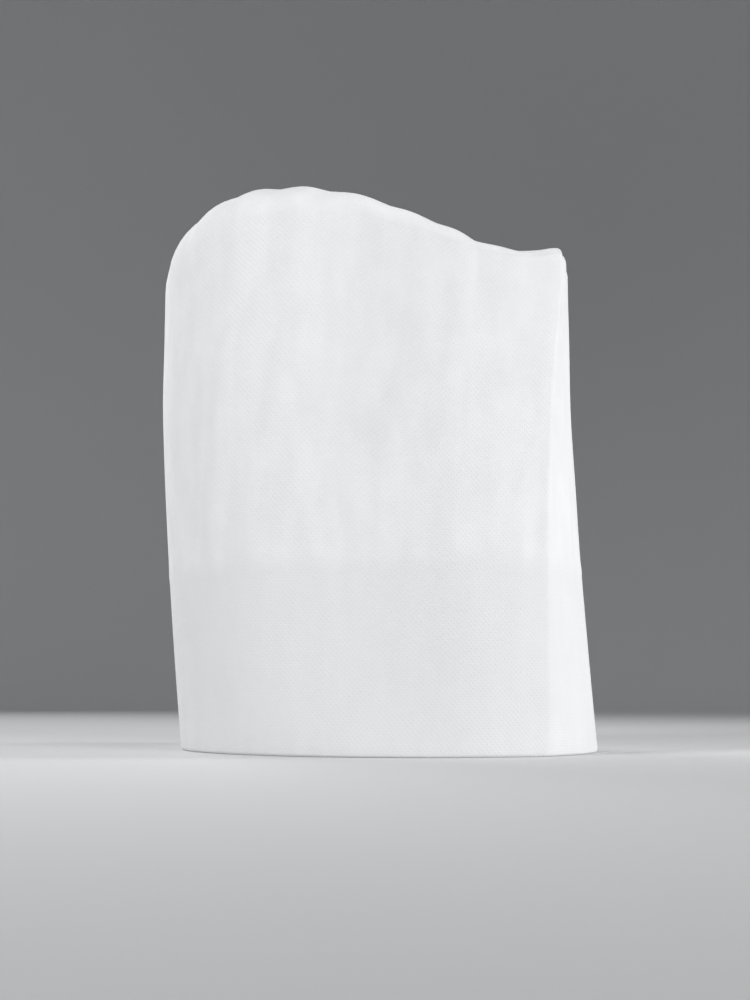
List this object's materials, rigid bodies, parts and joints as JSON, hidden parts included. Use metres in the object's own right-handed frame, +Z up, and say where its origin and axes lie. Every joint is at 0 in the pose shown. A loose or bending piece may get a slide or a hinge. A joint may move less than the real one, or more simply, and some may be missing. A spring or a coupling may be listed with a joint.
{
  "type": "disposable chef hat",
  "caption": "Tall straight non-woven cloth hat: an oval tube with a turned-in hem, a back seam and a puckered, tied top, open at the rim.",
  "frame": {"origin": "on the surface that the rim stands on, under the middle of the whole hat's box", "axes": "+Z up along the hat's height, -Y towards the wearer's front, -X towards the wearer's right"},
  "size_m": [0.1722, 0.2014, 0.2324],
  "materials": {
    "nonwoven": "matte",
    "nonwoven_hem": "matte",
    "nonwoven_lap": "matte",
    "thread": "matte"
  },
  "bodies": {
    "root": {"crown": "nonwoven", "hem_band": "nonwoven_hem", "back_seam": "nonwoven_lap", "gather_tie": "thread"}
  },
  "joints": []
}
